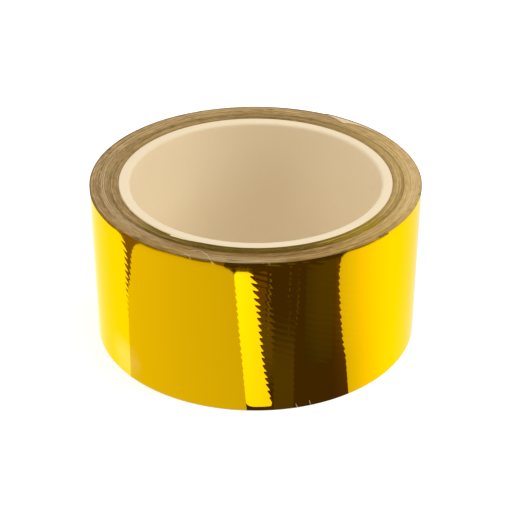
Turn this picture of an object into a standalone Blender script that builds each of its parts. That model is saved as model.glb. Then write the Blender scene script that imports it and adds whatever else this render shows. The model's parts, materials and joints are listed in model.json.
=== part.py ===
"""Roll of mirror-gold self-wound film tape on a plastic core, standing on one end.

The frame's origin is on the roll's axis at the face it stands on, with +Z up along the axis.
The tape is one strip, wound outwards counter-clockwise as seen from above (+Z). It is drawn as
solid bundles of turns between a separate first turn and a separate last turn. The free end of
the strip is a chain of short stiff pieces, each hinged to the one before it, so that it can be
peeled off the roll.
"""

from math import cos, pi, radians, sin

import bmesh
import bpy

# Driving dimensions, in metres
TAPE_WIDTH = 0.0500  # also the roll's height
CORE_BORE_RADIUS = 0.0381  # a 3 inch core
CORE_WALL = 0.0034
CORE_EDGE_ROUND = 0.0004
LAP_THICKNESS = 0.00015  # one drawn turn: film and adhesive, about three times the real thickness
LAP_GAP = 0.00015  # clearance between neighbouring turns and bundles
BUNDLE_OUTER_RADII = (0.0449, 0.0466, 0.0482, 0.0497)
LAST_TURN_LIFT = 0.00020  # how far the last turn has sprung off the roll where the free end begins
TAIL_LIFT = 0.00030  # how much further the very end of the strip stands off
TAIL_GAP = 0.0003  # clearance between neighbouring pieces of the free end

# How far each group of turns stays inside the core's two ends
FIRST_TURN_INSET = 0.00015
BUNDLE_INSETS = (0.00015, 0.00010, 0.00015, 0.00010)
LAST_TURN_INSET = 0.00005
TAIL_INSET = 0.00010

# Angles about +Z, from +X, in degrees
FACETS = 108  # straight sides round a full turn
FACET_ANGLE = 360 / FACETS
PEEL_LINE_ANGLE = 3.0  # where the free end leaves the roll; every node's corners line up with it
TAIL_PIECES = 6
FACETS_PER_TAIL_PIECE = 3
START_ANGLE = PEEL_LINE_ANGLE + 70 * FACET_ANGLE  # where the strip begins on the core
CLIMB_ANGLE = 60.0  # stretch over which the first turn climbs onto its own beginning
LOOSE_ANGLE = 60.0  # stretch over which the last turn springs off the roll

CORE_OUTER_RADIUS = CORE_BORE_RADIUS + CORE_WALL
LAP_PITCH = LAP_THICKNESS + LAP_GAP
FIRST_TURN_RADIUS = CORE_OUTER_RADIUS + LAP_GAP
LAST_TURN_RADIUS = BUNDLE_OUTER_RADII[-1] + LAP_GAP
TAIL_RADIUS = LAST_TURN_RADIUS + LAP_PITCH + LAST_TURN_LIFT
TAIL_ANGLE = TAIL_PIECES * FACETS_PER_TAIL_PIECE * FACET_ANGLE
MERGE_DISTANCE = 0.00001


def clear_scene():
    for old in list(bpy.data.objects):
        bpy.data.objects.remove(old, do_unlink=True)


def make_material(name, colour, roughness, metallic):
    material = bpy.data.materials.new(name)
    material.use_nodes = True
    shader = material.node_tree.nodes["Principled BSDF"]
    shader.inputs["Base Color"].default_value = (*colour, 1.0)
    shader.inputs["Roughness"].default_value = roughness
    shader.inputs["Metallic"].default_value = metallic
    return material


def smooth_step(share):
    """Rises from 0 to 1 with level ends."""
    share = min(max(share, 0.0), 1.0)
    return share * share * (3 - 2 * share)


def on_circle(radius, degrees, height):
    angle = radians(degrees)
    return (radius * cos(angle), radius * sin(angle), height)


def add_object(name, bm, material):
    mesh = bpy.data.meshes.new(name)
    bm.to_mesh(mesh)
    bm.free()
    mesh.materials.append(material)
    obj = bpy.data.objects.new(name, mesh)
    bpy.context.collection.objects.link(obj)
    return obj


def shade_round(obj):
    obj.data.shade_smooth()
    obj.data.set_sharp_from_angle(angle=radians(30))


def turned_ring(name, profile, material):
    """A closed outline at +X, running down its outer side, turned once round the axis."""
    bm = bmesh.new()
    corners = [bm.verts.new((radius, 0.0, height)) for radius, height in profile]
    for corner, following in zip(corners, corners[1:] + corners[:1]):
        bm.edges.new((corner, following))
    ring = add_object(name, bm, material)
    ring.rotation_euler.z = radians(PEEL_LINE_ANGLE)
    turn = ring.modifiers.new("turn", "SCREW")
    turn.steps = FACETS
    turn.render_steps = FACETS
    turn.use_merge_vertices = True
    turn.merge_threshold = MERGE_DISTANCE
    turn.use_smooth_shade = True
    return ring


def rounded_outline(inner, outer, bottom, top, rounding, steps=2):
    """A rectangle with rounded corners, from the outer side's top and down."""
    corners = (
        (outer - rounding, top - rounding, 90, 0),
        (outer - rounding, bottom + rounding, 0, -90),
        (inner + rounding, bottom + rounding, -90, -180),
        (inner + rounding, top - rounding, 180, 90),
    )
    outline = []
    for centre_radius, centre_height, first, last in corners:
        for i in range(steps + 1):
            angle = radians(first + (last - first) * i / steps)
            outline.append((centre_radius + rounding * cos(angle), centre_height + rounding * sin(angle)))
    return outline


def make_core(material):
    outline = rounded_outline(
        CORE_BORE_RADIUS, CORE_OUTER_RADIUS, 0.0, TAPE_WIDTH, CORE_EDGE_ROUND
    )
    return turned_ring("core_tube", outline, material)


def make_bundle(name, inner, outer, inset, material):
    """Many tight turns as one ring."""
    top = TAPE_WIDTH - inset
    outline = ((outer, top), (outer, inset), (inner, inset), (inner, top))
    return turned_ring(name, outline, material)


def film_sheet(name, angles, radius_at, inset, material, origin=(0.0, 0.0, 0.0)):
    """A strip of tape standing on its edge. radius_at gives its inner face, and it thickens outwards."""
    bm = bmesh.new()
    columns = []
    for degrees in angles:
        x, y, _ = on_circle(radius_at(degrees), degrees, 0.0)
        low = bm.verts.new((x - origin[0], y - origin[1], inset))
        high = bm.verts.new((x - origin[0], y - origin[1], TAPE_WIDTH - inset))
        columns.append((low, high))
    for (low, high), (next_low, next_high) in zip(columns, columns[1:]):
        bm.faces.new((low, next_low, next_high, high))
    sheet = add_object(name, bm, material)
    sheet.location = origin
    thicken = sheet.modifiers.new("thickness", "SOLIDIFY")
    thicken.thickness = LAP_THICKNESS
    thicken.offset = 1.0
    thicken.use_even_offset = True
    shade_round(sheet)
    return sheet


def first_turn_radius(degrees):
    """Flat on the core until it climbs onto the strip's own beginning."""
    climb_start = START_ANGLE + 360 - CLIMB_ANGLE
    return FIRST_TURN_RADIUS + LAP_PITCH * smooth_step((degrees - climb_start) / CLIMB_ANGLE)


def last_turn_radius(degrees):
    """An even spiral that springs off the roll a little before the peel line."""
    turned = (degrees - PEEL_LINE_ANGLE) / 360
    loose_start = PEEL_LINE_ANGLE + 360 - LOOSE_ANGLE
    lift = LAST_TURN_LIFT * smooth_step((degrees - loose_start) / LOOSE_ANGLE)
    return LAST_TURN_RADIUS + LAP_PITCH * turned + lift


def tail_radius(degrees):
    share = (degrees - PEEL_LINE_ANGLE) / TAIL_ANGLE
    return TAIL_RADIUS + TAIL_LIFT * share * share


def angles_between(first, facets, end_trim=0.0, start_trim=0.0):
    """The corner angles along a stretch, with its two ends drawn in by the trims, in degrees."""
    angles = [first + FACET_ANGLE * i for i in range(facets + 1)]
    angles[0] += start_trim
    angles[-1] -= end_trim
    return angles


def make_tail(material, trim):
    """The free end. Each piece's origin is on its own hinge line, at the film's outer face."""
    pieces = []
    for number in range(TAIL_PIECES):
        first = PEEL_LINE_ANGLE + number * FACETS_PER_TAIL_PIECE * FACET_ANGLE
        last_trim = trim if number < TAIL_PIECES - 1 else 0.0
        angles = angles_between(first, FACETS_PER_TAIL_PIECE, last_trim, trim)
        hinge = on_circle(tail_radius(first) + LAP_THICKNESS, first, 0.0)
        name = f"tail_{number + 1}"
        pieces.append(film_sheet(name, angles, tail_radius, TAIL_INSET, material, hinge))
    return pieces


def build():
    clear_scene()
    core_plastic = make_material("core_plastic", (0.86, 0.74, 0.56), 0.45, 0.0)
    wound_edge = make_material("wound_edge", (0.36, 0.24, 0.10), 0.55, 0.3)
    gold_film = make_material("gold_film", (1.0, 0.68, 0.02), 0.08, 1.0)

    make_core(core_plastic)
    film_sheet(
        "first_turn",
        angles_between(START_ANGLE, FACETS),
        first_turn_radius,
        FIRST_TURN_INSET,
        gold_film,
    )
    inner = FIRST_TURN_RADIUS + 2 * LAP_PITCH
    names = ("inner_turns", "lower_middle_turns", "upper_middle_turns", "outer_turns")
    for name, outer, inset in zip(names, BUNDLE_OUTER_RADII, BUNDLE_INSETS):
        make_bundle(name, inner, outer, inset, wound_edge)
        inner = outer + LAP_GAP

    tail_trim = (TAIL_GAP / 2) / TAIL_RADIUS * 180 / pi
    film_sheet(
        "last_turn",
        angles_between(PEEL_LINE_ANGLE, FACETS, end_trim=tail_trim),
        last_turn_radius,
        LAST_TURN_INSET,
        gold_film,
    )
    make_tail(gold_film, tail_trim)


build()
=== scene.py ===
"""The looks of a roll of mirror-gold film tape on a plastic core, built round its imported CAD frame.

The roll stands on the floor with its axis on Z. Angles about the axis are in degrees from +X,
counter-clockwise from above, as in the frame. The tape is one strip, so a place on it is given by
"turned", the angle that has been wound since +X: it goes on past 360 on the next turn.
"""

import json
import math

import bpy
import numpy as np
from mathutils import Matrix, Vector


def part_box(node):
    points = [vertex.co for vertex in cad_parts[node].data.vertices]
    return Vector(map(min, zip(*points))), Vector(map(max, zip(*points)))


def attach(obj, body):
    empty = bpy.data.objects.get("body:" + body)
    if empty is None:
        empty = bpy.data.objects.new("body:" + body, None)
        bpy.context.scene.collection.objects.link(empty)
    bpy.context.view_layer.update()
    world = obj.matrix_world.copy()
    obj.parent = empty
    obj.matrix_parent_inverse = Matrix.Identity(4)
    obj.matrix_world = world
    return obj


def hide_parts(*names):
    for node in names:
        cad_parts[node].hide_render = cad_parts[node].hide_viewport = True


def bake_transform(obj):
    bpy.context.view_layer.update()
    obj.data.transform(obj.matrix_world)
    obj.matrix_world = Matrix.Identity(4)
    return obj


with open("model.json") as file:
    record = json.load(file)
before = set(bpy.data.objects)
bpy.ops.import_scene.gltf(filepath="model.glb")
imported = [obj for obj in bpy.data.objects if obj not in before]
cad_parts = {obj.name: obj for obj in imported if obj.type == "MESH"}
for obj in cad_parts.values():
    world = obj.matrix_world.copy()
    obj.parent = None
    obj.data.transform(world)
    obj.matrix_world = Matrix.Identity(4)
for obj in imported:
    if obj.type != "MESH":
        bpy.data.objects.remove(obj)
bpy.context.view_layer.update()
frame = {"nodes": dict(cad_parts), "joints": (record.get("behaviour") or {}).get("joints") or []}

MM = 0.001


# What the frame says

def node_radii(node):
    """Smallest and largest distance of a node's corners from the roll's axis."""
    distances = [math.hypot(corner.co.x, corner.co.y) for corner in frame["nodes"][node].data.vertices]
    return min(distances), max(distances)


def joint_angle(joint):
    return math.degrees(math.atan2(joint["pos_m"][1], joint["pos_m"][0]))


CORE_INNER, CORE_OUTER = node_radii("core_tube")
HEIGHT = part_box("core_tube")[1].z
BUNDLES = ("inner_turns", "lower_middle_turns", "upper_middle_turns", "outer_turns")
BUNDLE_RADII = [node_radii(node) for node in BUNDLES]
TAIL_JOINTS = frame["joints"]
TAIL_HINGES = [joint_angle(joint) for joint in TAIL_JOINTS]
PEEL_LINE = TAIL_HINGES[0]
TAIL_END = TAIL_HINGES[-1] + (TAIL_HINGES[1] - TAIL_HINGES[0])

# Driving sizes of the looks
ROLL_RADIUS = 50.2 * MM
START_ANGLE = -124.5  # where the strip begins on the core
FILM = 0.06 * MM  # drawn thickness of one turn of film
HAIRLINE = 0.02 * MM  # clearance between pieces that touch on the real roll
TURN_STEP = 0.10 * MM  # how much one turn adds outside the last one
LAP_WIDTH = 0.22 * MM  # one groove on the end faces
WEB_RISE = 0.20 * MM  # how far the wound strip stands above the core's upper rim
WEB_GAP = 0.10 * MM  # how far it stays above the floor
END_LIFT = 0.22 * MM  # how far the free end stands off the roll
FILM_RADIUS = ROLL_RADIUS - TURN_STEP  # outer face of the last turn where it starts
UNDERLAP = 11.0  # degrees by which the last turn starts under its own end


# Small tools

def smooth(low, high, value):
    """Rises from 0 at low to 1 at high with level ends."""
    share = np.clip((np.asarray(value, float) - low) / (high - low), 0, 1)
    return share * share * (3 - 2 * share)


def window(low, high, soft, value):
    """1 between low and high, fading to 0 over the soft distance outside them."""
    return smooth(low - soft, low, value) * (1 - smooth(high, high + soft, value))


def wrap(degrees, start):
    """The same direction, between start and start + 360."""
    return (np.asarray(degrees, float) - start) % 360 + start


def value_noise(position, seed, count=4096):
    """Smooth noise from -1 to 1 along a line, with one new value at each whole number."""
    values = np.random.RandomState(seed).uniform(-1, 1, count)
    position = np.asarray(position, float)
    cell = np.floor(position).astype(int)
    share = position - cell
    share = share * share * (3 - 2 * share)
    return values[cell % count] * (1 - share) + values[(cell + 1) % count] * share


def plane_noise(across, along, seed):
    """Smooth noise from -1 to 1 over a plane."""
    size = 256
    values = np.random.RandomState(seed).uniform(-1, 1, (size, size))
    across, along = np.broadcast_arrays(np.asarray(across, float), np.asarray(along, float))
    column, row = np.floor(across).astype(int), np.floor(along).astype(int)
    x, y = across - column, along - row
    x, y = x * x * (3 - 2 * x), y * y * (3 - 2 * y)
    near = values[column % size, row % size] * (1 - x) + values[(column + 1) % size, row % size] * x
    far = values[column % size, (row + 1) % size] * (1 - x)
    far = far + values[(column + 1) % size, (row + 1) % size] * x
    return near * (1 - y) + far * y


def mix(first, second, share):
    """Blends two colours by an array of shares."""
    share = np.asarray(share, float)[..., None]
    return np.asarray(first, float) * (1 - share) + np.asarray(second, float) * share


# Materials

def new_material(name, **constants):
    material = bpy.data.materials.new(name)
    material.use_nodes = True
    shader = material.node_tree.nodes["Principled BSDF"]
    for socket, value in constants.items():
        shader.inputs[socket.replace("_", " ")].default_value = value
    return material, material.node_tree, shader


def add_node(tree, kind, settings=None, **inputs):
    node = tree.nodes.new(kind)
    for key, value in (settings or {}).items():
        setattr(node, key, value)
    for socket, value in inputs.items():
        set_input(tree, node.inputs[socket.replace("_", " ")], value)
    return node


def set_input(tree, socket, value):
    if isinstance(value, bpy.types.NodeSocket):
        tree.links.new(value, socket)
    else:
        socket.default_value = value


def add_math(tree, operation, first, second=0.0, third=0.0):
    node = tree.nodes.new("ShaderNodeMath")
    node.operation = operation
    for socket, value in zip(node.inputs, (first, second, third)):
        set_input(tree, socket, value)
    return node.outputs["Value"]


def add_range(tree, value, low, high, out_low, out_high):
    node = add_node(tree, "ShaderNodeMapRange", {"interpolation_type": "SMOOTHSTEP"}, Value=value)
    limits = {"From Min": low, "From Max": high, "To Min": out_low, "To Max": out_high}
    for socket, number in limits.items():
        node.inputs[socket].default_value = number
    return node.outputs["Result"]


def add_mix(tree, share, first, second, blend="MIX"):
    node = add_node(tree, "ShaderNodeMix", {"data_type": "RGBA", "blend_type": blend})
    set_input(tree, node.inputs["Factor"], share)
    set_input(tree, node.inputs["A"], first)
    set_input(tree, node.inputs["B"], second)
    colours = [output for output in node.outputs if output.type == "RGBA"]
    return colours[0]


def add_noise(tree, vector, scale, detail=2.0, stretch=None):
    """Noise of one feature per 1/scale metres, drawn out along the axes by stretch."""
    if stretch:
        mapping = add_node(tree, "ShaderNodeMapping", Vector=vector)
        mapping.inputs["Scale"].default_value = stretch
        vector = mapping.outputs["Vector"]
    node = add_node(tree, "ShaderNodeTexNoise", Vector=vector, Scale=scale, Detail=detail)
    return node.outputs["Fac"]


def add_bump(tree, shader, height, strength, distance):
    bump = add_node(tree, "ShaderNodeBump", Height=height)
    bump.inputs["Strength"].default_value = strength
    bump.inputs["Distance"].default_value = distance
    tree.links.new(bump.outputs["Normal"], shader.inputs["Normal"])


def read_attribute(tree, name, output):
    return add_node(tree, "ShaderNodeAttribute", {"attribute_name": name}).outputs[output]


HAZE_TURNED = 218.5  # where the pale finger mark is on the last turn
HAZE_HEIGHT = 6.0 * MM
HAZE_FULL, HAZE_CLEAR = 2.0 * MM, 8.5 * MM  # how far from its middle it is full, and has gone
HAZE_STRENGTH = 0.24


def gold_film_material():
    """Metallised film: a gold mirror with a faint web grain, fine scuffs and one pale finger mark."""
    material, tree, shader = new_material("gold_mirror_film", Metallic=1.0)
    shader.inputs["Specular Tint"].default_value = (1.0, 1.0, 0.49, 1.0)
    strip = read_attribute(tree, "strip", "Vector")

    grain = add_noise(tree, strip, 60.0, 3.0, stretch=(1.0, 0.15, 1.0))
    colour = add_mix(tree, grain, (0.98, 0.550, 0.0002, 1.0), (1.0, 0.580, 0.001, 1.0))

    centre = (math.radians(HAZE_TURNED) * ROLL_RADIUS, HAZE_HEIGHT, 0.0)
    distance = add_node(tree, "ShaderNodeVectorMath", {"operation": "DISTANCE"})
    tree.links.new(strip, distance.inputs[0])
    distance.inputs[1].default_value = centre
    ragged = add_noise(tree, strip, 260.0, 4.0)
    spread = add_math(tree, "MULTIPLY_ADD", ragged, 5 * MM, -2.5 * MM)
    spread = add_math(tree, "ADD", distance.outputs["Value"], spread)
    haze = add_range(tree, spread, HAZE_FULL, HAZE_CLEAR, HAZE_STRENGTH, 0.0)
    colour = add_mix(tree, haze, colour, (1.0, 0.80, 0.30, 1.0))
    tree.links.new(colour, shader.inputs["Base Color"])

    scuffs = add_noise(tree, strip, 900.0, 6.0, stretch=(0.08, 1.0, 1.0))
    roughness = add_range(tree, scuffs, 0.35, 0.75, 0.030, 0.065)
    roughness = add_math(tree, "MULTIPLY_ADD", haze, 0.12, roughness)
    tree.links.new(roughness, shader.inputs["Roughness"])
    orange_peel = add_noise(tree, strip, 500.0, 3.0)
    add_bump(tree, shader, orange_peel, 0.05, 0.01 * MM)
    return material


def adhesive_material():
    """The strip's inner side: pale gold seen through a thin coat of adhesive."""
    material, tree, shader = new_material("adhesive_side", Metallic=0.4, Specular_IOR_Level=0.5)
    strip = read_attribute(tree, "strip", "Vector")
    cloud = add_noise(tree, strip, 350.0, 4.0, stretch=(0.3, 1.0, 1.0))
    colour = add_mix(tree, cloud, (0.62, 0.45, 0.15, 1.0), (0.78, 0.62, 0.28, 1.0))
    tree.links.new(colour, shader.inputs["Base Color"])
    streaks = add_noise(tree, strip, 1200.0, 5.0, stretch=(0.1, 1.0, 1.0))
    tree.links.new(add_range(tree, streaks, 0.3, 0.7, 0.28, 0.45), shader.inputs["Roughness"])
    add_bump(tree, shader, streaks, 0.15, 0.02 * MM)
    return material


def wound_edge_material():
    """The cut edges of the turns, coloured lap by lap, with glue specks and slitting marks."""
    material, tree, shader = new_material("wound_edges", Specular_IOR_Level=0.12)
    tone = read_attribute(tree, "tone", "Color")
    place = add_node(tree, "ShaderNodeTexCoord").outputs["Object"]
    mottle = add_noise(tree, place, 420.0, 5.0)
    shade = add_mix(tree, mottle, (0.80, 0.80, 0.80, 1.0), (1.2, 1.2, 1.2, 1.0))
    colour = add_mix(tree, 1.0, tone, shade, "MULTIPLY")
    specks = add_range(tree, add_noise(tree, place, 2600.0, 2.0), 0.66, 0.74, 0.0, 0.5)
    colour = add_mix(tree, specks, colour, (0.62, 0.50, 0.34, 1.0))
    tree.links.new(colour, shader.inputs["Base Color"])
    tree.links.new(add_range(tree, mottle, 0.3, 0.7, 0.34, 0.52), shader.inputs["Roughness"])
    add_bump(tree, shader, add_noise(tree, place, 3000.0, 4.0), 0.25, 0.03 * MM)
    return material


def core_material():
    """Cream plastic: satin, a little cloudy, with fine scuffs and faint draw lines in the bore."""
    material, tree, shader = new_material("core_plastic", Specular_IOR_Level=0.4)
    shader.inputs["Subsurface Weight"].default_value = 0.08
    shader.inputs["Subsurface Radius"].default_value = (1.0, 0.6, 0.3)
    shader.inputs["Subsurface Scale"].default_value = 0.6 * MM
    place = add_node(tree, "ShaderNodeTexCoord").outputs["Object"]
    cloud = add_noise(tree, place, 45.0, 4.0)
    colour = add_mix(tree, cloud, (0.722, 0.592, 0.390, 1.0), (0.772, 0.642, 0.435, 1.0))
    dust = add_range(tree, add_noise(tree, place, 1500.0, 2.0), 0.68, 0.76, 0.0, 0.35)
    colour = add_mix(tree, dust, colour, (0.56, 0.44, 0.28, 1.0))
    tree.links.new(colour, shader.inputs["Base Color"])
    scuffs = add_noise(tree, place, 700.0, 5.0)
    tree.links.new(add_range(tree, scuffs, 0.3, 0.7, 0.36, 0.52), shader.inputs["Roughness"])
    draw_lines = add_noise(tree, place, 900.0, 3.0, stretch=(1.0, 1.0, 0.02))
    height = add_math(tree, "MULTIPLY_ADD", draw_lines, 0.6, scuffs)
    add_bump(tree, shader, height, 0.12, 0.04 * MM)
    return material


def sliver_material():
    """Slit film waste: thin pale slivers, part clear and part gold."""
    material, tree, shader = new_material("film_sliver", Metallic=0.15, Roughness=0.35)
    place = add_node(tree, "ShaderNodeTexCoord").outputs["Object"]
    patches = add_noise(tree, place, 1800.0, 3.0)
    colour = add_mix(tree, patches, (0.55, 0.37, 0.17, 1.0), (0.78, 0.61, 0.38, 1.0))
    tree.links.new(colour, shader.inputs["Base Color"])
    return material


GOLD = gold_film_material()
ADHESIVE = adhesive_material()
WOUND_EDGE = wound_edge_material()
CORE = core_material()
SLIVER = sliver_material()


# Meshes

def add_mesh(name, points, faces, materials, sharp=35.0, slots=None, **attributes):
    """A mesh from arrays. slots gives each face's material, and attributes are arrays by point."""
    mesh = bpy.data.meshes.new(name)
    mesh.from_pydata(points.reshape(-1, 3).tolist(), [], faces)
    for material in materials:
        mesh.materials.append(material)
    if slots is not None:
        mesh.polygons.foreach_set("material_index", np.asarray(slots, np.int32))
    for key, values in attributes.items():
        width = values.shape[-1]
        if width == 4:
            layer = mesh.attributes.new(key, "FLOAT_COLOR", "POINT")
            layer.data.foreach_set("color", values.reshape(-1).astype(np.float32))
        else:
            layer = mesh.attributes.new(key, "FLOAT_VECTOR", "POINT")
            layer.data.foreach_set("vector", values.reshape(-1).astype(np.float32))
    mesh.shade_smooth()
    mesh.set_sharp_from_angle(angle=math.radians(sharp))
    obj = bpy.data.objects.new(name, mesh)
    bpy.context.scene.collection.objects.link(obj)
    return obj


def loop_faces(columns, rows, closed):
    """Quads over a run of closed outlines, each going up outside, in over the top and down inside."""
    faces = []
    for i in range(columns if closed else columns - 1):
        here, there = i * rows, ((i + 1) % columns) * rows
        for j in range(rows):
            k = (j + 1) % rows
            faces.append((here + j, there + j, there + k, here + k))
    if not closed:
        last = (columns - 1) * rows
        faces.append(tuple(reversed(range(rows))))
        faces.append(tuple(range(last, last + rows)))
    return faces


def cylinder_points(radii, degrees, heights):
    """Points from arrays of the same shape."""
    angles = np.radians(degrees)
    return np.stack([radii * np.cos(angles), radii * np.sin(angles), heights], axis=-1)


CORE_COLUMNS = 288
CORE_WAVE = 0.02 * MM  # how uneven the core's wall is
ROUND_OUTER, ROUND_BORE = 0.35 * MM, 0.95 * MM  # the rounding of the rim's two edges
ROUND_STEPS = 6


def core_outline():
    """The core's section as radius and height: up outside, in over the top, down the bore."""
    corners = (
        (CORE_OUTER, ROUND_OUTER, 0.0, 1, -90, 0),
        (CORE_OUTER, ROUND_OUTER, HEIGHT, -1, 0, 90),
        (CORE_INNER, ROUND_BORE, HEIGHT, -1, 90, 180),
        (CORE_INNER, ROUND_BORE, 0.0, 1, 180, 270),
    )
    outline = []
    for radius, rounding, edge, inward, first, last in corners:
        side = -1 if radius == CORE_OUTER else 1
        centre = (radius + side * rounding, edge + inward * rounding)
        for step in range(ROUND_STEPS + 1):
            angle = math.radians(first + (last - first) * step / ROUND_STEPS)
            out, up = rounding * math.cos(angle), rounding * math.sin(angle)
            outline.append((centre[0] + out, centre[1] + up))
        if edge == 0.0 and radius == CORE_OUTER:
            outline += wall_points(CORE_OUTER, rounding, HEIGHT - rounding)
        elif edge == HEIGHT and radius == CORE_INNER:
            outline += wall_points(CORE_INNER, HEIGHT - rounding, rounding)
    return np.array(outline)


def wall_points(radius, first, last, count=24):
    """Points along a wall, between its rounded ends."""
    heights = np.linspace(first, last, count + 2)[1:-1]
    return [(radius, height) for height in heights]


def make_core():
    outline = core_outline()
    degrees = np.arange(CORE_COLUMNS)[:, None] * 360 / CORE_COLUMNS + np.zeros(len(outline))
    radii = outline[None, :, 0] + np.zeros((CORE_COLUMNS, 1))
    heights = outline[None, :, 1] + np.zeros((CORE_COLUMNS, 1))
    from_left = np.abs(degrees - 180)  # alike on both sides of the x axis, so the waves join up
    waves = plane_noise(from_left / 24, heights / (12 * MM), 3)
    radii = radii + CORE_WAVE * waves * np.sin(np.pi * np.clip(heights / HEIGHT, 0, 1))
    faces = loop_faces(CORE_COLUMNS, len(outline), True)
    core = add_mesh("core", cylinder_points(radii, degrees, heights), faces, [CORE])
    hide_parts("core_tube")
    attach(core, "roll")


# The end faces of the wound strip

WEB_TONE = (0.46, 0.315, 0.140)
DARK_TONE = (0.16, 0.090, 0.026)
# Colour of the painted highlight on laps that stand proud
PALE_GLINT_TONE = (0.66, 0.52, 0.31)
START_GLUE_TONE = (0.78, 0.66, 0.46)
# Olive of the inner band with painted shade of its recess, and darker painted shade at its front
OLIVE_AND_SHADE_TONE = (0.36, 0.24, 0.090)
FRONT_PAINTED_SHADE_TONE = (0.215, 0.150, 0.010)

# Painted light and shade on the cut edges by direction: angle, light, and how much green and blue is left
EDGE_PAINTED_LIGHT = (
    (-180, 1.00, 0.98, 0.92), (-140, 0.97, 0.95, 0.82), (-112, 0.72, 0.87, 0.52),
    (-75, 0.72, 0.87, 0.54), (-52, 1.02, 0.95, 0.66), (-25, 1.36, 1.02, 0.85),
    (5, 1.52, 1.03, 0.95), (35, 1.30, 1.01, 0.90), (60, 0.98, 0.98, 0.86),
    (90, 0.92, 0.97, 0.86), (135, 0.98, 0.98, 0.90), (180, 1.00, 0.98, 0.92),
)

# Dark nicks and lumps of glue: radius in mm, angle, reach across in mm and along in degrees
DARK_NICKS = (
    (49.75, -45.3, 0.32, 1.3), (49.7, -43.0, 0.25, 0.7), (49.8, -60.8, 0.35, 1.5),
    (49.75, -12.0, 0.25, 0.8), (48.9, -97.0, 0.22, 2.2), (49.6, -132.0, 0.25, 1.8),
    (48.0, 84.0, 0.3, 1.5), (49.4, 158.0, 0.3, 1.2),
)
NICK_DARKNESS = 0.75

LAP_OFFSET, LAP_JITTER = 0.040 * MM, 0.03 * MM  # how unevenly the laps stand, slowly and quickly
GROOVE_DEPTH = 0.10 * MM  # between one lap and the next
PALE_RISE = 0.06 * MM  # how far a pale lap stands proud
BAND_RECESS = 0.12 * MM  # how low the inner band was wound
RECESS_WANDER = 0.04 * MM

START_GLUE = 0.85 * MM  # how far glue shows beyond the core where the strip starts
START_GLUE_ANGLE = 17  # how far round it runs out
START_CLIMB = 0.30 * MM  # how high a turn climbs onto the strip's start
START_CLIMB_ANGLE = 38
START_STEP = 0.20 * MM  # how far the second turn is still held off just past the start
START_STEP_ANGLE = 15

# Laps that stand proud, painted as highlights: radius in mm, from and to angle, width in mm, strength
PALE_GLINT_LAPS = (
    (45.45, -186, -130, 0.12, 0.55),
    (45.95, -184, -132, 0.11, 0.8),
    (46.45, -178, -126, 0.12, 0.75),
    (46.95, -160, -95, 0.12, 0.6),
    (47.20, -28, 8, 0.14, 0.8),
    (47.90, -22, 2, 0.12, 0.7),
    (48.60, -18, 10, 0.16, 0.9),
    (46.60, -48, -14, 0.10, 0.7),
    (49.35, -112, -86, 0.16, 1.0),
    (48.90, -108, -90, 0.12, 0.9),
    (48.40, -116, -84, 0.14, 0.7),
    (48.05, -104, -70, 0.10, 0.6),
    (47.45, -112, -86, 0.14, 0.5),
    (46.30, 20, 75, 0.14, 0.6),
    (47.60, 100, 160, 0.12, 0.6),
    (48.90, 60, 115, 0.12, 0.5),
    (47.10, 128, 176, 0.10, 0.7),
    (43.60, -170, -120, 0.14, 0.5),
    (43.10, 60, 140, 0.12, 0.5),
    (42.90, -60, 20, 0.12, 0.5),
)


def lap_turns(radius, degrees):
    """How many turns have been wound where the strip crosses a place, and how far across its lap."""
    from_start = wrap(degrees, START_ANGLE) - START_ANGLE
    laps = (radius - CORE_OUTER) / LAP_WIDTH - from_start / 360
    whole = np.floor(laps)
    return whole + from_start / 360, laps - whole


def in_inner_band(radius):
    """1 in the inner bundle, olive with painted shade and wound a little low, and 0 outside it."""
    return 1 - smooth(BUNDLE_RADII[0][1] - HAIRLINE, BUNDLE_RADII[1][0] + HAIRLINE, radius)


def recess(radius, degrees):
    """How far the turns lie below the highest level of the wound strip."""
    wander = RECESS_WANDER * plane_noise(radius / (0.9 * MM), wrap(degrees, START_ANGLE) / 30, 11)
    return BAND_RECESS * in_inner_band(radius) + wander


def lap_tone(radius, degrees, turns, seed):
    """Light and dark laps, in groups and broken into clumps, with less contrast on the right."""
    shade = 0.5 * value_noise(turns * 3.3, seed + 2)
    group = plane_noise(radius / (0.55 * MM), wrap(degrees, START_ANGLE) / 22, seed + 3)
    clumps = plane_noise(radius / (0.35 * MM), wrap(degrees, START_ANGLE) / 2.2, seed + 5)
    contrast = 1 - 0.45 * window(-45, 60, 15, wrap(degrees, -180))
    shade = 0.665 + contrast * (0.85 * shade + 0.20 * group + 0.32 * clumps)
    return mix(DARK_TONE, WEB_TONE, np.clip(shade, 0, 1.5))


def olive_and_painted_shade(tone, radius, degrees):
    """Turns the inner band olive with painted shade, more at the front but lighter at its right end."""
    inner_band = in_inner_band(radius)
    tone = mix(tone, tone * np.array(OLIVE_AND_SHADE_TONE) / np.array(WEB_TONE), inner_band)
    way = wrap(degrees, -240)
    # painted shade, darker at the front of the inner band
    front = inner_band * window(-132, -40, 12, way)
    tone = mix(tone, tone * np.array(FRONT_PAINTED_SHADE_TONE) / np.array(OLIVE_AND_SHADE_TONE), front)
    # painted light at the right end of the band's front
    return tone * (1 + 0.5 * front * window(-62, -40, 10, way))[..., None]


def painted_edge_light(radius, degrees):
    """Painted light and shade on the cut edges by direction, and darker towards the outer rim."""
    ways, lights, greens, blues = np.array(EDGE_PAINTED_LIGHT).T
    way = wrap(degrees, -180)
    rim = smooth(49.5 * MM, 49.9 * MM, radius) * (1 - window(-50, 50, 20, way))
    light = np.interp(way, ways, lights) * (1 - 0.35 * rim)
    green, blue = light * np.interp(way, ways, greens), light * np.interp(way, ways, blues)
    return np.stack([light, green, blue], axis=-1)


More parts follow.
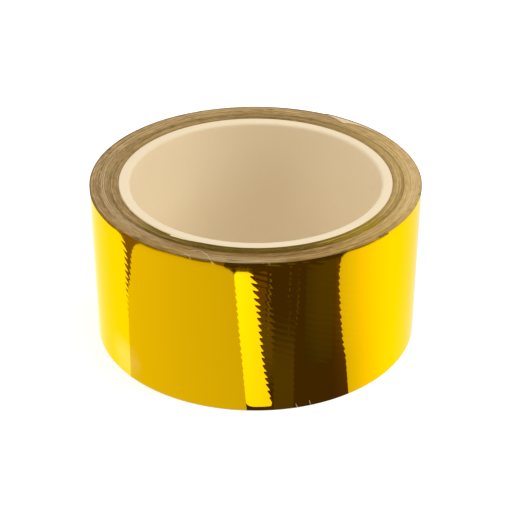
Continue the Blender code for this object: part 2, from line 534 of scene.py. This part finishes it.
def end_face(radius, degrees, seed):
    """Depth below the wound strip's highest level, and colour, over the end face."""
    turns, across = lap_turns(radius, degrees)
    offset = LAP_OFFSET * value_noise(turns * 4.0, seed)
    offset = offset + LAP_JITTER * value_noise(turns * 11.0, seed + 1)
    groove = GROOVE_DEPTH * np.abs(2 * across - 1) ** 4
    depth = recess(radius, degrees) + offset + groove

    tone = olive_and_painted_shade(lap_tone(radius, degrees, turns, seed), radius, degrees)
    # painted light and shade by direction
    tone = tone * painted_edge_light(radius, degrees)
    for centre, first, last, width, strength in PALE_GLINT_LAPS:
        along = window(0, last - first, 10, wrap(degrees, first - 30) - first)
        near = np.exp(-(((radius / MM - centre) / width) ** 2))
        pale = strength * along * near * (0.7 + 0.3 * value_noise(turns * 9.0, seed + 4))
        depth = depth - PALE_RISE * pale
        # painted highlight along the proud lap
        tone = mix(tone, PALE_GLINT_TONE, pale)
    for centre, place, reach, spread in DARK_NICKS:
        across = (radius / MM - centre) / reach
        along = (wrap(degrees, place - 180) - place) / spread
        tone = tone * (1 - NICK_DARKNESS * np.exp(-(across**2) - along**2))[..., None]
    from_start = wrap(degrees, START_ANGLE - 180) - START_ANGLE
    glue = (from_start >= 0) * (1 - smooth(0, START_GLUE_ANGLE, from_start)) * START_GLUE
    glued = smooth(-0.03 * MM, 0.03 * MM, CORE_OUTER + glue - radius) * (glue > 0.1 * MM)
    return depth, mix(tone, START_GLUE_TONE, glued)


def core_lift(degrees):
    """How far the second turn is held off by the strip's start, on both sides of it."""
    turned = wrap(degrees, START_ANGLE - 180) - START_ANGLE
    rising = START_CLIMB * smooth(-START_CLIMB_ANGLE, 0, turned) * (turned < 0)
    falling = START_STEP * (1 - smooth(0, START_STEP_ANGLE, turned)) * (turned >= 0)
    return rising + falling


FIRST_RADIUS = CORE_OUTER + 0.04 * MM  # inner face of the first turn
BUNDLE_COLUMNS = 480
ROWS_IN_LAP = 5
TOP_SEED, LOW_SEED = 20, 60  # for the noise on the two end faces


def bundle_walls(number, degrees):
    """Inner and outer radius of a bundle round the roll, close against its neighbours."""
    def boundary(inside, outside):
        return (BUNDLE_RADII[inside][1] + BUNDLE_RADII[outside][0]) / 2

    if number == 0:
        inner = FIRST_RADIUS + FILM + HAIRLINE + core_lift(degrees)
    else:
        inner = boundary(number - 1, number) + HAIRLINE / 2 + 0 * degrees
    if number == len(BUNDLES) - 1:
        turned = wrap(degrees, PEEL_LINE) - PEEL_LINE
        # Steps in where the last turn starts, under its own end
        step = smooth(359 - 2 * UNDERLAP, 359 - UNDERLAP, turned)
        outer = FILM_RADIUS - FILM - HAIRLINE + TURN_STEP * (turned / 360 - step)
    else:
        outer = boundary(number, number + 1) - HAIRLINE / 2 + 0 * degrees
    return inner, outer


def with_alpha(tone):
    return np.concatenate([tone, np.ones(tone.shape[:-1] + (1,))], axis=-1)


def make_bundle(number):
    """One bundle of tight turns: a ring whose two end faces carry the laps as fine spiral grooves."""
    degrees = np.arange(BUNDLE_COLUMNS)[:, None] * 360 / BUNDLE_COLUMNS + START_ANGLE
    inner, outer = bundle_walls(number, degrees)
    rows = int(round(float(np.mean(outer - inner)) / (LAP_WIDTH / ROWS_IN_LAP)))
    share = np.linspace(0, 1, rows)[None, :]
    radii = outer + (inner - outer) * share
    degrees = degrees + 0 * radii
    top_depth, top_tone = end_face(radii, degrees, TOP_SEED)
    low_depth, low_tone = end_face(radii, degrees, LOW_SEED)
    top = cylinder_points(radii, degrees, HEIGHT + WEB_RISE - top_depth)
    low = cylinder_points(radii, degrees, np.maximum(WEB_GAP + low_depth, HAIRLINE))[:, ::-1]
    points = np.concatenate([top, low], axis=1)
    tone = with_alpha(np.concatenate([top_tone, low_tone[:, ::-1]], axis=1))
    name = BUNDLES[number].replace("_turns", "_laps")
    faces = loop_faces(BUNDLE_COLUMNS, 2 * rows, True)
    bundle = add_mesh(name, points, faces, [WOUND_EDGE], sharp=50, tone=tone)
    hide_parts(BUNDLES[number])
    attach(bundle, "roll")


# The film itself

RIPPLE_PITCH = 2.18 * MM  # height between the chatter marks in the film
RIPPLE_LENGTH = 5.0 * MM  # the same along the strip
RIPPLE_DEPTH = 0.032 * MM
WAVE_DEPTH = 0.006 * MM
LIFT_FROM, LIFT_TO = PEEL_LINE + 379, PEEL_LINE + 402  # where the free end rises off the roll
RIPPLED = (-52, 42)  # directions from the front between which the film needs a fine mesh
FINE_STEP, COARSE_STEP, FREE_END_STEP = 0.36, 2.0, 0.5  # degrees between its columns
LAST_TURN_ROWS, FREE_END_ROWS = 240, 60  # heights in its mesh, outside
FIRST_TURN_ROWS, PLAIN_ROWS = 8, 6  # and where it is smooth


def ripple_strength(facing, share):
    """How deep the chatter marks are, by direction from the front and share of the height."""
    tooth_line = 5.8 - 6.4 * share  # where they begin, further left towards the top
    front = smooth(tooth_line - 2.4, tooth_line - 1.5, facing) * (1 - 0.45 * smooth(14, 20, facing))
    fade = 1 - 0.5 * window(3, 24, 2, facing) * (1 - smooth(20, 24, facing))
    front = front * (1 - 0.9 * smooth(34, 40, facing)) * (1 - fade * smooth(0.84, 0.96, share))
    left = 0.60 * window(-49.5, -45.5, 3, facing) * smooth(0.35, 0.65, share)
    left = left * (1 - smooth(0.90, 0.97, share))
    strip_left = 0.22 * window(-7, -4, 1.5, facing) * (1 - smooth(0.8, 0.9, share))
    return front + left + strip_left


def ripple(turned, heights):
    """Slanting chatter marks, strongest on the front of the roll, and a slight waviness all round."""
    facing = wrap(turned + 90, -180)  # 0 at the front, growing towards +X
    edges = smooth(0, 1.2 * MM, heights) * (1 - smooth(HEIGHT - 1.0 * MM, HEIGHT, heights))
    along = np.radians(facing) * ROLL_RADIUS
    wander = 0.16 * plane_noise(facing / 4 + 60, heights / (3 * MM), 5)
    phase = heights / RIPPLE_PITCH + along / RIPPLE_LENGTH + wander
    part = phase - np.floor(phase)
    bump = 4 * part * (1 - part)
    tooth = 1 + 0.40 * plane_noise(np.floor(phase) + 0.5, facing / 5 + 40, 7)
    waves = WAVE_DEPTH * plane_noise(facing / 9 + 70, heights / (9 * MM), 9)
    return ripple_strength(facing, heights / HEIGHT) * edges * tooth * RIPPLE_DEPTH * bump + waves


def film_outer(turned):
    """Radius of the film's outer face along the last turn and the free end."""
    wound = (np.asarray(turned, float) - PEEL_LINE) / 360
    return FILM_RADIUS + TURN_STEP * wound + END_LIFT * smooth(LIFT_FROM, LIFT_TO, turned)


def strip_rows(count, inner_count):
    """Heights of an outline: up the outer face, then down the inner face."""
    return np.concatenate([np.linspace(0, 1, count), np.linspace(1, 0, inner_count)])


def make_film(name, turned, outer, top_inset, low_inset, rows, inner_rows=PLAIN_ROWS, relief=None):
    """A closed strip of film. outer and the insets are arrays along it."""
    share = strip_rows(rows, inner_rows)
    turned = np.asarray(turned, float)[:, None]
    low, top = np.asarray(low_inset)[:, None], HEIGHT - np.asarray(top_inset)[:, None]
    heights = low + (top - low) * share[None, :]
    radii = np.asarray(outer)[:, None] + 0 * heights
    if relief is not None:
        radii = radii + relief(turned, heights)
    inside = np.arange(len(share)) >= rows
    radii = np.where(inside[None, :], np.asarray(outer)[:, None] - FILM, radii)
    points = cylinder_points(radii, turned + 0 * heights, heights)
    strip = np.stack([np.radians(turned) * ROLL_RADIUS + 0 * heights, heights, 0 * heights], axis=-1)
    tones = mix(DARK_TONE, WEB_TONE, 0.6 + 0.4 * value_noise(turned / 30, 91)) + 0 * strip
    faces = loop_faces(len(turned), len(share), False)
    slots = film_slots(len(turned), rows, len(share))
    materials = [GOLD, ADHESIVE, WOUND_EDGE]
    return add_mesh(name, points, faces, materials, slots=slots, strip=strip, tone=with_alpha(tones))


def film_slots(columns, rows, total):
    """Gold outside, adhesive inside, bare cut edges at the top, bottom and two ends."""
    gold, adhesive, edge = 0, 1, 2
    ring = [gold] * (rows - 1) + [edge] + [adhesive] * (total - rows - 1) + [edge]
    return ring * (columns - 1) + [edge, edge]


def make_first_turn():
    """The first turn, which starts a little below the others and climbs onto its own beginning."""
    turned = np.linspace(0, 360, 361)
    angles = START_ANGLE + turned
    outer = FIRST_RADIUS + FILM + START_CLIMB * smooth(360 - START_CLIMB_ANGLE, 360, turned)
    top_inset = 0.45 * MM - 0.40 * MM * smooth(12, 30, turned)
    low_inset = 0.10 * MM + 0.10 * MM * smooth(80, 170, turned)
    turn = make_film("first_turn_film", angles, outer, top_inset, low_inset, FIRST_TURN_ROWS)
    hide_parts("first_turn")
    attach(turn, "roll")


def film_columns(first, last):
    """Columns along the strip, close together where the film is rippled."""
    turned, columns = first, [first]
    while turned < last:
        facing = (turned + 90 + 180) % 360 - 180
        turned += FINE_STEP if RIPPLED[0] < facing < RIPPLED[1] else COARSE_STEP
        columns.append(min(turned, last))
    return np.array(columns)


def insets(turned, seed):
    """The strip's edges wander a little up and down along it."""
    return 0.03 * MM * value_noise(turned / 14, seed)


def make_outer_film(name, turned, rows, inner_rows):
    """A rippled stretch of the last turn or the free end, as high as the wound strip."""
    top_inset, low_inset = insets(turned, 71) - WEB_RISE, insets(turned, 72) + WEB_GAP
    outer = film_outer(turned)
    return make_film(name, turned, outer, top_inset, low_inset, rows, inner_rows, ripple)


def make_last_turn():
    half_piece = (TAIL_HINGES[1] - TAIL_HINGES[0]) / 2
    turned = film_columns(PEEL_LINE - UNDERLAP, PEEL_LINE + 360 - half_piece)
    turn = make_outer_film("last_turn_film", turned, LAST_TURN_ROWS, PLAIN_ROWS)
    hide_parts("last_turn")
    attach(turn, "roll")


def make_free_end():
    """The free end in short lengths, one centred on each hinge, and a last one fixed to the tip's part.
    """
    piece = TAIL_HINGES[1] - TAIL_HINGES[0]
    for number, hinge in enumerate(TAIL_HINGES):
        first, last = 360 + hinge - piece / 2, 360 + hinge + piece / 2
        length = free_length(f"free_end_{number + 1}", first, last)
        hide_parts(f"tail_{number + 1}")
        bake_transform(length)
    last_length = free_length("free_end_tip", 360 + TAIL_END - piece / 2, 360 + TAIL_END)
    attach(last_length, TAIL_JOINTS[-1]["child"])


def free_length(name, first, last):
    """A stretch of the free end, with as many rows inside as outside."""
    steps = max(2, int(round((last - first) / FREE_END_STEP)))
    turned = np.linspace(first, last, steps + 1)
    length = make_outer_film(name, turned, FREE_END_ROWS, FREE_END_ROWS)
    return length


# Loose slivers of film at the cut edges

SLIVER_THICKNESS = 0.03 * MM

# Name, width in mm, and the places it runs through: radius in mm, angle, height in mm
SLIVERS = (
    ("sliver_front", 0.20, (
        (46.9, -112.4, 50.25), (46.3, -109.6, 50.32), (47.6, -106.6, 50.34),
        (49.1, -105.0, 50.34), (50.32, -104.0, 49.95), (50.36, -103.2, 49.3),
    )),
    ("sliver_edge", 0.10, (
        (49.9, -104.4, 50.24), (50.05, -99.5, 50.27), (49.9, -94.0, 50.27), (49.5, -89.0, 50.25),
    )),
    ("sliver_curl", 0.17, (
        (49.1, -114.0, 50.25), (49.4, -112.6, 50.31), (49.9, -111.6, 50.30), (50.35, -111.0, 49.7),
    )),
    ("whisker_left", 0.12, ((50.24, -76.6, 1.6), (50.33, -76.3, 0.8), (50.45, -75.8, 0.06))),
    ("whisker_right", 0.14, ((50.24, -71.9, 1.9), (50.34, -71.6, 1.0), (50.30, -71.5, 0.3))),
    ("fleck_1", 0.12, ((49.6, -86.2, 50.24), (50.0, -85.8, 50.27), (50.3, -85.7, 49.9))),
    ("fleck_2", 0.10, ((49.8, -87.9, 50.24), (50.27, -87.7, 50.1))),
)

SCRAP_FIRST, SCRAP_LAST = 37, 62  # the directions between which the scrap of film lies
SCRAP_RADIUS = 49.6  # its outer edge, in mm
SCRAP_WIDTHS = ((37, 0.10), (46, 0.7), (51, 1.6), (52.6, 2.6), (58, 1.0), (61.5, 0.10))  # angle, mm


def smooth_path(points, count):
    """A curve through the points, with its ends where theirs are."""
    before, after = 2 * points[0] - points[1], 2 * points[-1] - points[-2]
    points = np.concatenate([[before], points, [after]])
    spans = len(points) - 3
    path = []
    for position in np.linspace(0, spans, count):
        span = min(int(position), spans - 1)
        t = position - span
        a, b, c, d = points[span : span + 4]
        bend = (2 * a - 5 * b + 4 * c - d) * t**2 + (3 * b - a - 3 * c + d) * t**3
        path.append(0.5 * (2 * b + (c - a) * t + bend))
    return np.array(path)


def make_sliver(name, width, places):
    """A hair of slit film that tapers towards both ends."""
    radii, angles, heights = np.array(places).T
    path = smooth_path(cylinder_points(radii, angles, heights) * MM, 10 * len(places))
    rings = []
    for i, point in enumerate(path):
        along = path[min(i + 1, len(path) - 1)] - path[max(i - 1, 0)]
        along = along / np.linalg.norm(along)
        outward = np.array([point[0], point[1], 0.4 * ROLL_RADIUS])  # its broad side faces out and up
        side = np.cross(along, outward)
        side = side / np.linalg.norm(side)
        up = np.cross(side, along)
        taper = 0.35 + 0.65 * math.sin(math.pi * (0.08 + 0.84 * i / (len(path) - 1)))
        half, rise = side * width * taper / 2, up * SLIVER_THICKNESS / 2
        rings.append([point + half + rise, point - half + rise, point - half - rise, point + half - rise])
    sliver = add_mesh(name, np.array(rings), loop_faces(len(rings), 4, False), [SLIVER], sharp=60)
    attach(sliver, "roll")


def make_scrap():
    """A scrap of pale film waste on the upper end, by the free end, wide at one place and tapering."""
    angles = np.linspace(SCRAP_FIRST, SCRAP_LAST, 51)
    places, widths = np.array(SCRAP_WIDTHS).T
    outer = SCRAP_RADIUS - 0.25 * smooth(SCRAP_LAST - 2, SCRAP_LAST, angles)
    inner = outer - np.interp(angles, places, widths)
    radii = np.stack([outer, inner, inner, outer], axis=-1) * MM
    lift, thickness = 0.12, 0.04
    level = (HEIGHT + WEB_RISE) / MM + lift
    heights = np.array([level, level, level - thickness, level - thickness]) * MM + 0 * radii
    points = cylinder_points(radii, angles[:, None] + 0 * radii, heights)[::-1]
    scrap = add_mesh("film_scrap", points, loop_faces(len(angles), 4, False), [SLIVER], sharp=60)
    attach(scrap, "roll")


make_core()
make_first_turn()
for bundle_number in range(len(BUNDLES)):
    make_bundle(bundle_number)
make_last_turn()
make_free_end()
for sliver_name, sliver_width, sliver_places in SLIVERS:
    make_sliver(sliver_name, sliver_width * MM, sliver_places)
make_scrap()


# The studio

EYE_ELEVATION = math.radians(30.86)
EYE_DISTANCE = 8.825  # from the roll's middle, in roll radii
ROLL_MIDDLE = 0.5  # height of the roll's middle, in roll radii
EYE_DIP = math.radians(0.352)  # how far below the roll's middle the camera points
EYE_SWING = math.radians(1.375)  # and how far to its right
EYE_TILT = math.radians(0.73)  # how far the camera is turned about its own line of sight
CARD_LEVEL = -0.4 * MM
DARK_WARMTH = 0.68


def glow_material():
    """Light of the colour and strength that the mesh carries."""
    material = bpy.data.materials.new("studio_glow")
    material.use_nodes = True
    tree = material.node_tree
    tree.nodes.clear()
    glow = read_attribute(tree, "glow", "Vector")
    light = add_node(tree, "ShaderNodeEmission", Color=glow)
    light.inputs["Strength"].default_value = 1.0
    output = add_node(tree, "ShaderNodeOutputMaterial")
    tree.links.new(light.outputs["Emission"], output.inputs["Surface"])
    material.cycles.emission_sampling = "NONE"
    return material


GLOW = glow_material()


def only_in_reflections(obj):
    obj.visible_camera = False
    obj.visible_diffuse = False
    obj.visible_transmission = False
    obj.visible_volume_scatter = False
    obj.visible_shadow = False


def mirror_spot(facing, height):
    """The place on the table seen by way of the film at a direction from the front and a height.

    Lengths here are in roll radii, with x to the right of the roll and y behind it.
    """
    angle = np.radians(facing)
    flat = np.zeros_like(angle)
    outward = np.stack([np.sin(angle), -np.cos(angle), flat], axis=-1)
    spot = outward + np.stack([flat, flat, height], axis=-1)
    away, up = EYE_DISTANCE * math.cos(EYE_ELEVATION), EYE_DISTANCE * math.sin(EYE_ELEVATION)
    ray = spot - np.array([0.0, -away, up + ROLL_MIDDLE])
    ray = ray - 2 * np.sum(ray * outward, axis=-1, keepdims=True) * outward
    return (spot - ray * (height / ray[..., 2])[..., None])[..., :2]


def read_edge(edge, share):
    """Direction from the front at a share of the height, along an edge."""
    shares, ways = np.array(edge).T
    return np.interp(share, shares, ways)


def corner_cut(over, width, corners):
    """How far the card's lower and upper ends are drawn in by its rounded corners."""
    cut = 0
    for corner, side in zip(corners, (over * width, (1 - over) * width)):
        missing = np.maximum(corner - side, 0)
        cut = cut + corner - np.sqrt(np.maximum(corner**2 - missing**2, 0))
    return cut


CARD_STEPS = 60


def make_card(
    name, left, right, low=0.0, top=0.98, corners=(0.05, 0.05), across=(1.0,), up=(1.0,),
    warm=1.0, level=0.0,
):
    """A lit patch of table that is seen in the film between two edges, with its corners rounded.

    The edges are given as (share of the roll's height, direction from the front) from the bottom up,
    across and up as its light from left to right and from the bottom up, and warm as the green in it.
    """
    shares = np.linspace(0, 1, CARD_STEPS + 1)
    over, rise = np.meshgrid(shares, shares, indexing="ij")
    cut = corner_cut(over, math.radians(abs(read_edge(right, top) - read_edge(left, top))), corners)
    bottom = low + cut * (low > 0)
    share = bottom + (top - cut - bottom) * rise
    facing = read_edge(left, share) * (1 - over) + read_edge(right, share) * over
    flat = mirror_spot(facing, share * HEIGHT / ROLL_RADIUS) * ROLL_RADIUS
    heights = np.full(flat.shape[:-1] + (1,), CARD_LEVEL + level * MM)
    light = np.interp(over, np.linspace(0, 1, len(across)), across)
    light = light * np.interp(rise, np.linspace(0, 1, len(up)), up)
    glow = light[..., None] * np.array([1.0, warm, warm * warm])
    faces = []
    for i in range(CARD_STEPS):
        here, there = i * (CARD_STEPS + 1), (i + 1) * (CARD_STEPS + 1)
        faces += [(here + j, here + j + 1, there + j + 1, there + j) for j in range(CARD_STEPS)]
    points = np.concatenate([flat, heights], axis=-1)
    only_in_reflections(add_mesh(name, points, faces, [GLOW], glow=glow))


def make_back_card(name, first, last, reach, strength, near=1.0):
    """A lit patch of table behind the roll, between two directions, out to a reach in roll radii."""
    turns = np.linspace(first, last, 40)
    ring = np.stack([np.sin(np.radians(turns)), -np.cos(np.radians(turns))], axis=-1) * ROLL_RADIUS
    strip = np.stack([ring * near, ring * reach], axis=1)
    heights = np.full((len(turns), 2, 1), CARD_LEVEL - 0.15 * MM)
    points = np.concatenate([strip, heights], axis=-1)
    faces = [(2 * i, 2 * i + 1, 2 * i + 3, 2 * i + 2) for i in range(len(turns) - 1)]
    glow = np.full((len(turns), 2, 3), strength)
    only_in_reflections(add_mesh(name, points, faces, [GLOW], glow=glow))


def straight(way, lean=0.0):
    """An edge at a direction from the front, leaning over by some degrees towards its top."""
    return ((0, way), (1, way + lean))


# Edges of the cards: share of the roll's height and direction from the front, from the bottom up
WHITE_RIGHT = ((0, -48.6), (0.23, -48.3), (0.42, -48.0), (0.65, -47.8), (0.80, -47.8), (1, -47.3))
AMBER_LEFT = (
    (0, -48.6), (0.23, -48.3), (0.42, -48.0), (0.60, -47.7), (0.72, -46.2), (0.82, -45.2), (1, -43.4)
)
STRIP_LEFT = (
    (0, -3.0), (0.08, -3.3), (0.19, -3.75), (0.33, -4.4), (0.53, -5.25), (0.74, -6.1), (0.94, -6.9),
    (1, -7),
)
AMBER_RIGHT = (*STRIP_LEFT[:-1], (0.955, -7.5), (0.975, -9.4), (0.99, -11.7), (1, -14))
STRIP_RIGHT = (
    (0, 6.0), (0.1, 4.7), (0.23, 3.3), (0.37, 2.1), (0.53, 1.3), (0.72, 0.5), (0.86, -0.3), (1, -1.8)
)
WHITE_LEFT = (
    (0, 33.2), (0.19, 32.0), (0.28, 31.4), (0.42, 29.9), (0.6, 28.7), (0.77, 27.9), (1, 27.3)
)
SIDE_END = 84  # direction just past the outermost film that the camera sees


def make_bright_cards():
    """The bright sides, the dimmer front that looks amber, and the bright strip beside the dark."""
    make_card(
        "left_glow", straight(-SIDE_END), WHITE_RIGHT, top=0.996, corners=(0, 0.08),
        across=(1.15, 1.15, 1.2, 1.25),
    )
    make_card(
        "amber_glow", AMBER_LEFT, AMBER_RIGHT, top=0.998, corners=(0.075, 0), across=(0.83, 0.74, 0.66)
    )
    make_card(
        "strip_glow", STRIP_LEFT, STRIP_RIGHT, low=0.035, top=0.955, corners=(0.03, 0.02),
        across=(1.5, 1.42, 1.3), up=(0.88, 0.95, 1, 1.05), level=0.05,
    )
    make_card(
        "right_glow", WHITE_LEFT, straight(SIDE_END), top=1.0, corners=(0.075, 0),
        across=(0.74, 0.98, 1.20, 1.27, 1.2, 1.1, 1.0, 0.95),
    )


OLIVE_CARD = {"warm": 0.80, "corners": (0.01, 0.01), "level": -0.05}
BROWN_CARD = {**OLIVE_CARD, "warm": 0.62}


def make_dim_cards():
    """The faint light in the dark reflection, and a glow along the film's upper edge on the left."""
    make_card(
        "dim_low", straight(6, -1), straight(12.6), top=0.6, up=(0.075, 0.080, 0.075, 0.05), **OLIVE_CARD
    )
    make_card("dim_band", STRIP_RIGHT, straight(6, -1), 0.2, 0.66, up=(0.06, 0.11, 0.11), **OLIVE_CARD)
    make_card("dim_by_strip", STRIP_RIGHT, straight(3.4), 0.66, 0.95, up=(0.11, 0.13), **BROWN_CARD)
    make_card(
        "dim_mid", straight(16.3), straight(26), low=0.3, across=(0.75, 1.0, 1.05),
        up=(0.052, 0.075, 0.08), **OLIVE_CARD,
    )
    make_card(
        "dim_right", straight(26), WHITE_LEFT, across=(0.09, 0.12, 0.15), up=(0.5, 0.6, 0.9, 1.0),
        **BROWN_CARD,
    )
    make_card(
        "shoulder_glow", straight(-SIDE_END), straight(-10), low=0.5, top=1.02, corners=(0, 0),
        across=(0.24, 0.22, 0.2, 0.16), warm=0.7, level=-0.1,
    )


# Thin beaded lines in the dark reflection: direction at the bottom, lean and strength
THREADS = ((3.9, 0.3, 0.30), (10.2, 0.5, 0.14), (12.6, 0.9, 0.12))
THREAD_WIDTH = 0.45  # degrees


def make_threads():
    for number, (way, lean, strength) in enumerate(THREADS):
        left, right = straight(way, lean), straight(way + THREAD_WIDTH, lean)
        beads = 0.55 + 0.6 * value_noise(np.arange(40) * 0.7, 50 + number)
        name = f"thread_{number + 1}"
        make_card(name, left, right, low=0.55, top=0.95, across=(strength,), up=beads, **OLIVE_CARD)


def make_table_glow():
    """The nearly dark table that lies under all the cards."""
    sides, reach = 64, 2.75 * ROLL_RADIUS
    angles = np.arange(sides) * 2 * np.pi / sides
    heights = np.full(sides, CARD_LEVEL - 0.3 * MM)
    points = np.stack([np.cos(angles) * reach, np.sin(angles) * reach, heights], axis=-1)
    glow = np.full((sides, 1), 0.050) * np.array([1.0, DARK_WARMTH, DARK_WARMTH**2])
    only_in_reflections(add_mesh("table_glow", points, [tuple(range(sides))], [GLOW], glow=glow))


def make_world():
    """White to the camera, a soft dome for matt surfaces, and lit and dark walls for glossy ones."""
    world = bpy.data.worlds.new("studio")
    world.use_nodes = True
    bpy.context.scene.world = world
    tree = world.node_tree
    tree.nodes.clear()
    way = add_node(tree, "ShaderNodeTexCoord").outputs["Generated"]
    parts = add_node(tree, "ShaderNodeSeparateXYZ", Vector=way)
    behind = add_math(tree, "MULTIPLY", parts.outputs["Y"], -1.0)
    azimuth = add_math(tree, "ARCTAN2", parts.outputs["X"], behind)
    turn = add_math(tree, "MULTIPLY_ADD", azimuth, 1 / (2 * math.pi), 0.5)
    walls = add_node(tree, "ShaderNodeValToRGB", Fac=turn)
    set_walls(walls.color_ramp)
    upward = add_range(tree, parts.outputs["Z"], 0.02, 0.35, 0.0, 1.0)
    glossy = add_mix(tree, upward, walls.outputs["Color"], (0.95, 0.95, 0.93, 1.0))
    ray = add_node(tree, "ShaderNodeLightPath")
    matt = add_mix(tree, ray.outputs["Is Glossy Ray"], (0.68, 0.68, 0.68, 1.0), glossy)
    seen = add_mix(tree, ray.outputs["Is Camera Ray"], matt, (1.0, 1.0, 1.0, 1.0))
    background = add_node(tree, "ShaderNodeBackground", Color=seen)
    background.inputs["Strength"].default_value = 1.0
    output = add_node(tree, "ShaderNodeOutputWorld")
    tree.links.new(background.outputs["Background"], output.inputs["Surface"])


# Direction from the front towards +X, in degrees, and how bright the studio's wall is there
WALLS = (
    (-180, 0.35), (-172, 0.35), (-168, 1.25), (-86, 1.3), (-80, 0.10), (-76, 0.72), (-12, 0.66),
    (-10, 1.3), (-2, 1.3), (0, 0.12), (42, 0.08), (48, 1.0), (90, 1.2), (168, 1.2), (172, 0.35),
    (176, 0.6), (178, 1.2), (180, 0.35),
)


def set_walls(ramp):
    while len(ramp.elements) > 1:
        ramp.elements.remove(ramp.elements[-1])
    for number, (degrees, bright) in enumerate(WALLS):
        place = degrees / 360 + 0.5
        element = ramp.elements[0] if number == 0 else ramp.elements.new(place)
        element.position = place
        element.color = (bright, bright, bright, 1.0)


def make_floor():
    """A wide pale floor that is nearly evenly white, with only a faint shadow under the roll."""
    material, tree, shader = new_material("pale_floor", Roughness=0.9, Specular_IOR_Level=0.1)
    place = add_node(tree, "ShaderNodeTexCoord").outputs["Object"]
    cloud = add_noise(tree, place, 8.0)
    colour = add_mix(tree, cloud, (0.93, 0.93, 0.93, 1.0), (0.96, 0.96, 0.96, 1.0))
    tree.links.new(colour, shader.inputs["Base Color"])
    shader.inputs["Emission Color"].default_value = (1.0, 1.0, 1.0, 1.0)
    shader.inputs["Emission Strength"].default_value = 0.35
    material.cycles.emission_sampling = "NONE"
    sides, reach = 96, 6.0
    angles = np.arange(sides) * 2 * np.pi / sides
    rim = np.stack([np.cos(angles) * reach, np.sin(angles) * reach, np.full(sides, -0.1 * MM)], axis=-1)
    floor = add_mesh("floor", rim, [tuple(range(sides))], [material])
    floor.visible_glossy = False


def aim(obj, target):
    obj.rotation_euler = (Vector(target) - obj.location).to_track_quat("-Z", "Y").to_euler()


def make_light(name, location, size, watts):
    data = bpy.data.lights.new(name, "AREA")
    data.shape = "SQUARE"
    data.size = size
    data.energy = watts
    light = bpy.data.objects.new(name, data)
    light.location = location
    light.visible_camera = False
    light.visible_glossy = False
    bpy.context.scene.collection.objects.link(light)
    aim(light, (0, 0, HEIGHT / 2))


def make_camera():
    """Looks down at the roll from the front with a long lens."""
    distance = EYE_DISTANCE * ROLL_RADIUS
    away, rise = distance * math.cos(EYE_ELEVATION), distance * math.sin(EYE_ELEVATION)
    dip = EYE_ELEVATION + EYE_DIP
    ahead = math.cos(dip)
    forward = Vector((math.sin(EYE_SWING) * ahead, math.cos(EYE_SWING) * ahead, -math.sin(dip)))
    level_right = forward.cross(Vector((0, 0, 1))).normalized()
    level_up = level_right.cross(forward)
    right = math.cos(EYE_TILT) * level_right + math.sin(EYE_TILT) * level_up
    up = math.cos(EYE_TILT) * level_up - math.sin(EYE_TILT) * level_right
    data = bpy.data.cameras.new("camera")
    data.sensor_width = 36.0
    data.lens = 99.15
    data.shift_x = -0.0534  # the picture is cropped off the lens's axis
    camera = bpy.data.objects.new("camera", data)
    turn = Matrix((right, up, -forward)).transposed().to_4x4()
    camera.matrix_world = Matrix.Translation((0, -away, HEIGHT / 2 + rise)) @ turn
    bpy.context.scene.collection.objects.link(camera)
    bpy.context.scene.camera = camera


make_table_glow()
make_bright_cards()
make_dim_cards()
make_threads()
make_back_card("back_right_glow", SIDE_END, 171, 2.74, 1.15)
make_back_card("back_left_glow", -SIDE_END, -171, 2.74, 1.2)
make_back_card("back_strip_glow", 175.5, 182.5, 2.6, 1.4, 1.02)
make_world()
make_floor()
make_light("right_softbox", (0.62, -0.10, 0.50), 0.45, 3.5)
make_light("left_softbox", (-0.62, -0.05, 0.55), 0.45, 2.1)
make_camera()
bpy.context.scene.view_settings.view_transform = "Standard"
